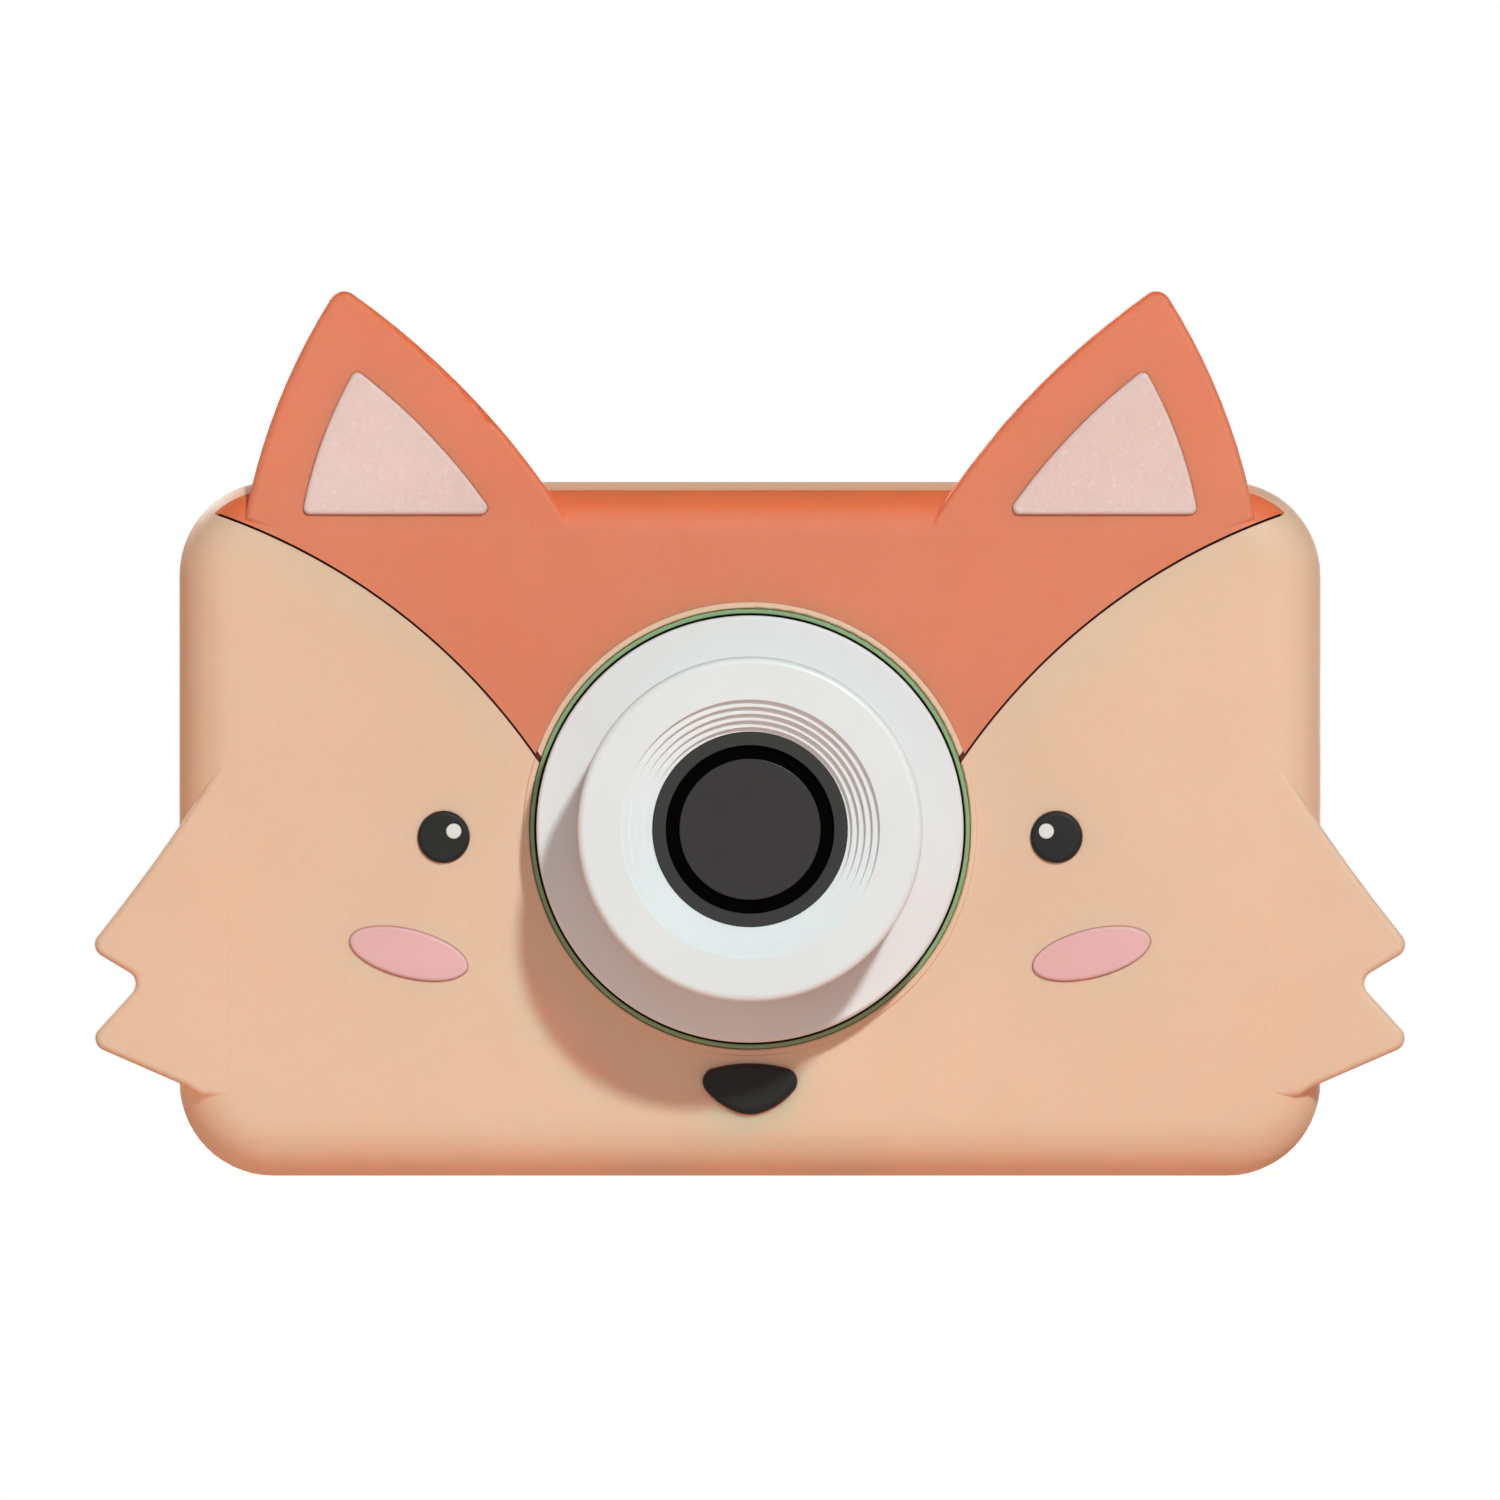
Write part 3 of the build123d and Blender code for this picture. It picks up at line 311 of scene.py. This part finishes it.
def circuit(name):
    """Solder mask over copper tracks, with tinned pads."""
    t = Tree(name)
    tracks = t.node("ShaderNodeTexBrick")
    tracks.inputs["Scale"].default_value = 420
    tracks.inputs["Mortar Size"].default_value = 0.028
    for key, value in (("Color1", WHITE), ("Color2", WHITE), ("Mortar", (0, 0, 0, 1))):
        tracks.inputs[key].default_value = value
    turned = t.node("ShaderNodeMapping")
    turned.inputs["Rotation"].default_value = (math.pi / 2, 0, 0)
    t.link(t.place, turned.inputs["Vector"])
    t.link(turned.outputs["Vector"], tracks.inputs["Vector"])
    pads = t.node("ShaderNodeTexVoronoi", feature="F1")
    pads.inputs["Scale"].default_value = 260
    t.link(t.place, pads.inputs["Vector"])
    pad = t.span(pads.outputs["Distance"], 1.0, 0.0, 0.16, 0.20)
    mask = t.mix(tracks.outputs["Fac"], srgb("0f4a2a"), srgb("1d6a3a"))
    t.set(
        colour=t.mix(pad, mask, srgb("b9b4a4")), metal=t.span(pad, 0.0, 0.9), rough=0.33, specular=0.5,
    )
    t.bump([(tracks.outputs["Fac"], 0.03 * MM), (pad, 0.03 * MM)])
    return t.material


def screen_material(name, middle_z, half_width, half_height):
    """Black-backed acrylic with the slightly greyer field of the display behind it."""
    t = Tree(name)
    x = t.math("ABSOLUTE", t.axis("X"))
    z = t.math("ABSOLUTE", t.math("SUBTRACT", t.axis("Z"), middle_z))
    soft = 0.15 * MM
    inside = t.both(
        t.span(x, 1.0, 0.0, half_width - soft, half_width),
        t.span(z, 1.0, 0.0, half_height - soft, half_height),
    )
    smears = t.noise(11 * MM, 4.0, 0.6, (1, 1, 2.4))
    t.set(
        colour=t.mix(inside, srgb("08090a"), srgb("1b2024")),
        rough=t.span(smears, 0.06, 0.16, 0.35, 0.75), specular=0.6, coat=1.0, coat_rough=0.03,
    )
    t.bump([(t.noise(20 * MM, 1.0, 0.4), 0.03 * MM)])
    return t.material


def window_material(name, colour, rough=0.32):
    """Smoked acrylic, satin rather than mirror-like."""
    t = Tree(name)
    haze = t.noise(4 * MM, 3.0, 0.6)
    t.set(
        colour=t.mix(t.span(haze, 0, 1, 0.3, 0.7), colour, shade(colour, 0.90)),
        rough=t.span(haze, rough - 0.04, rough + 0.05, 0.3, 0.7), specular=0.15,
    )
    t.bump([(t.noise(0.4 * MM, 2.0, 0.5), 0.003 * MM)])
    return t.material


def clear_glass(name, tint, rough=0.02):
    """Tinted glass or clear plastic with a little dust on it."""
    t = Tree(name)
    dust = t.noise(0.5 * MM, 2.0, 0.6)
    t.set(colour=tint, clear=0.9, ior=1.5, specular=0.5, rough=t.span(dust, rough, rough + 0.05, 0.5, 0.8))
    return t.material


def film(name, colour):
    """Flat cable: polyimide film over close parallel conductors."""
    t = Tree(name)
    wave = t.node("ShaderNodeTexWave", bands_direction="X")
    wave.inputs["Scale"].default_value = 320
    t.link(t.place, wave.inputs["Vector"])
    t.set(colour=t.mix(wave.outputs["Fac"], colour, shade(colour, 0.55)), rough=0.28, specular=0.5)
    t.bump([(wave.outputs["Fac"], 0.03 * MM)])
    return t.material


tan = silicone(
    "silicone tan", srgb("ecc7ac"), srgb("e8bc9d"), mottle=0.65, scatter=0.95, reach=13 * MM,
    seam=(-0.16 * MM, 0.3 * MM), thin_parts=True,
)
orange = silicone(
    "silicone orange", srgb("e58766"), srgb("df7856"), mottle=0.7, scatter=0.6,
    seam=(-1.0 * MM, 0.02 * MM), upward_painted_shade=srgb("ee7346"),
)
pink = silicone("silicone pink", srgb("eed0cc"), srgb("e3beb6"), grain=1.6, scatter=0.4, speckle=0.38)
blush = silicone("silicone blush", srgb("f1bbbe"), srgb("e4a6a5"), scatter=0.3)
black = silicone("silicone black", srgb("2c2b29"), srgb("222120"), scatter=0.0, mottle=0.6, specular=0.20)
chalk = silicone("silicone white", srgb("ebebea"), srgb("dfded9"), scatter=0.0)
green = plastic("green housing", srgb("8cac7c"), rough=0.40, gap_painted_shade=(18.4 * MM, 18.86 * MM))
green_key = plastic("green door", srgb("84a976"), rough=0.44, grain=1.5)
white = plastic("white barrel", srgb("ebeef0"), rough=0.36, grain=0.7, specular=0.4, scatter=0.15, mottle=0.02)
ring_white = plastic("white ring", srgb("e9e7e8"), rough=0.40, grain=0.8, specular=0.4, scatter=0.15, mottle=0.02)
key_white = plastic("white keys", srgb("efece4"), rough=0.34, grain=1.2, scatter=0.3, mottle=0.03)
marked_key = plastic(
    "marked keys", srgb("efece4"), rough=0.34, grain=1.2, scatter=0.3, mottle=0.03, marks=srgb("6c7f66"),
)
dark = plastic("dark bezel", srgb("3a3937"), rough=0.46, grain=0.8, specular=0.2)
gasket = plastic("black gasket", srgb("050403"), rough=0.90, grain=1.0, specular=0.02)
smoked = window_material("smoked window", srgb("3e3b3a"))
screen = screen_material("screen window", middle_z=31.6 * MM, half_width=20.4 * MM, half_height=15.3 * MM)
steel = metal("zinc steel", srgb("c3c5c8"), rough=0.34)
socket = metal("socket shell", srgb("d2d2d0"), rough=0.28)
pouch = metal("cell pouch", srgb("c9cbcd"), rough=0.42, scratch=3.0, stretch=(1, 1, 1))
board = circuit("circuit board")
chip = plastic("moulded black", srgb("1c1c1d"), rough=0.5, grain=1.3)
lens_glass = clear_glass("lens glass", srgb("c9d3e6"))
rear_glass = clear_glass("rear window", srgb("39434c"))
frosted = clear_glass("frosted light", srgb("eeeee8"), rough=0.4)
flex = film("flat cable", srgb("b5702a"))
lead = plastic("lead insulation", srgb("b3231f"), rough=0.42)

DRESS = {
    tan: ["silicone_sleeve"],
    orange: ["forehead_panel"],
    pink: ["inner_ear_left", "inner_ear_right"],
    blush: ["cheek_left", "cheek_right"],
    black: ["eye_left", "eye_right", "nose"],
    chalk: ["eye_glint_left", "eye_glint_right"],
    green: ["front_housing", "rear_housing"],
    green_key: ["port_door"],
    white: ["lens_barrel"],
    ring_white: ["lens_trim_ring", "selfie_bezel"],
    key_white: ["shutter_button", "power_button", "battery_connector"],
    marked_key: ["up_button", "ok_button", "down_button", "mode_button", "play_button"],
    dark: ["lens_bezel"],
    gasket: ["lens_gasket"],
    smoked: ["lens_window"],
    screen: ["screen_window"],
    steel: ["port_door_pin", "lanyard_pin", "housing_screws", "barrel_screws", "board_screws"],
    socket: ["usb_socket", "card_socket"],
    pouch: ["battery"],
    board: ["camera_board", "main_board"],
    chip: ["lens_holder", "processor", "tact_switches", "speaker", "selfie_module", "lcd_module"],
    lens_glass: ["objective_lens"],
    rear_glass: ["selfie_window"],
    frosted: ["charge_light"],
    flex: ["camera_flex", "lcd_flex"],
    lead: ["battery_leads"],
}
for finish, names in DRESS.items():
    for name in names:
        piece = NODES[name]
        piece.data.materials.clear()
        piece.data.materials.append(finish)

# ------------------------------------------------------------------ floor and background
FLOOR_R = 1.2
FLOOR_Z = -0.05 * MM  # just under the base, so that the two faces never coincide
FLOOR_SIDES = 64


def make_floor():
    """A pale disc that fades out with distance, throws no shade and can be looked through from below."""
    mesh = bpy.data.meshes.new("floor")
    turns = [math.tau * i / FLOOR_SIDES for i in range(FLOOR_SIDES)]
    rim = [(FLOOR_R * math.cos(turn), FLOOR_R * math.sin(turn), FLOOR_Z) for turn in turns]
    mesh.from_pydata(rim, [], [tuple(range(FLOOR_SIDES))])
    floor = bpy.data.objects.new("floor", mesh)
    bpy.context.scene.collection.objects.link(floor)
    t = Tree("pale floor")
    radius = t.node("ShaderNodeVectorMath", operation="LENGTH")
    t.link(t.place, radius.inputs[0])
    from_above = t.math("SUBTRACT", 1.0, t.node("ShaderNodeNewGeometry").outputs["Backfacing"])
    near = t.span(radius.outputs["Value"], 1.0, 0.0, 0.16, 0.50)
    t.set(
        colour=srgb("f4f3f1"), rough=0.7, specular=0.1, glow_colour=WHITE, glow=0.75,
        alpha=t.math("MULTIPLY", near, from_above),
    )
    mesh.materials.append(t.material)
    floor.visible_diffuse = False
    floor.visible_glossy = False
    floor.visible_shadow = False


FLOOR_LIGHT = (0.70, 0.41, 0.27, 1)  # warm light that comes up from the pale floor
CEILING_LIGHT = (0.030, 0.045, 0.043, 1)
REFLECTED_ROOM = (0.24, 0.25, 0.26, 1)  # what shiny pieces see


def make_world():
    """Light from all round, a neutral room in reflections, and plain white behind everything."""
    world = bpy.data.worlds.new("studio")
    world.use_nodes = True
    tree = world.node_tree

    def node(kind):
        return tree.nodes.new("ShaderNode" + kind)

    def background(colour):
        made = node("Background")
        made.inputs["Color"].default_value = colour
        return made

    def choose(ray, otherwise, seen):
        """The shader seen by rays of this kind, and otherwise the first one."""
        made = node("MixShader")
        tree.links.new(path.outputs[ray], made.inputs[0])
        tree.links.new(otherwise.outputs[0], made.inputs[1])
        tree.links.new(seen.outputs[0], made.inputs[2])
        return made

    height = node("SeparateXYZ")
    tree.links.new(node("TexCoord").outputs["Generated"], height.inputs[0])
    fade = node("MapRange")
    fade.inputs["From Min"].default_value = -0.7
    fade.inputs["From Max"].default_value = 0.7
    tree.links.new(height.outputs["Z"], fade.inputs["Value"])
    blend = node("Mix")
    blend.data_type = "RGBA"
    factor, low, high = MIX_COLOUR_SOCKETS
    blend.inputs[low].default_value = FLOOR_LIGHT
    blend.inputs[high].default_value = CEILING_LIGHT
    tree.links.new(fade.outputs["Result"], blend.inputs[factor])
    ambient = tree.nodes["Background"]
    tree.links.new(blend.outputs[MIX_COLOUR_RESULT], ambient.inputs["Color"])
    path = node("LightPath")
    lighting = choose("Is Glossy Ray", ambient, background(REFLECTED_ROOM))
    result = choose("Is Camera Ray", lighting, background(WHITE))
    tree.links.new(result.outputs[0], tree.nodes["World Output"].inputs["Surface"])
    bpy.context.scene.world = world


CENTRE = Vector((0, 0, LENS_Z))


def lamp(name, direction, distance, size, share, colour=(1, 1, 1)):
    """An area light whose share is the radiance it gives to a white surface that faces it."""
    data = bpy.data.lights.new(name, "AREA")
    data.shape = "DISK"
    data.size = size
    data.color = colour
    data.energy = share * math.pi ** 2 * distance ** 2
    light = bpy.data.objects.new(name, data)
    spot = CENTRE + Vector(direction).normalized() * distance
    light.location = spot
    light.rotation_euler = (CENTRE - spot).to_track_quat("-Z", "Y").to_euler()
    light.visible_camera = False
    bpy.context.scene.collection.objects.link(light)


make_floor()
make_world()
lamp("key", (0.300, -0.786, 0.541), 2.0, 0.155, 0.67, (0.92, 1.02, 1.0))
lamp("left fill", (-1.0, -1.0, 0.02), 1.7, 0.9, 0.07, (1.0, 0.8, 0.6))
lamp("left rim", (-1.0, 0.3, 0.0), 1.7, 0.6, 0.09, (0.9, 0.65, 0.4))
lamp("low fill", (0.0, -1.0, -0.30), 1.7, 0.9, 0.055, (0.58, 0.9, 1.40))
lamp("high fill", (0.0, -1.0, 0.30), 1.7, 0.9, 0.060, (0.52, 1.2, 1.45))
lamp("back key", (-0.45, 0.80, 0.55), 1.2, 0.30, 0.50, (0.97, 0.98, 1.0))
lamp("back fill", (0.35, 1.0, 0.10), 1.7, 1.0, 0.30)

# ------------------------------------------------------------------ camera, far off with a long lens
camera_data = bpy.data.cameras.new("camera")
camera_data.sensor_width = 36.0
camera_data.lens = 549.0
camera_data.clip_start = 0.05
camera_data.clip_end = 20
camera = bpy.data.objects.new("camera", camera_data)
camera.location = (0, -2.007, 37.3 * MM)
camera.rotation_euler = (math.pi / 2, 0, 0)
bpy.context.scene.collection.objects.link(camera)
bpy.context.scene.camera = camera
bpy.context.scene.view_settings.view_transform = "Standard"
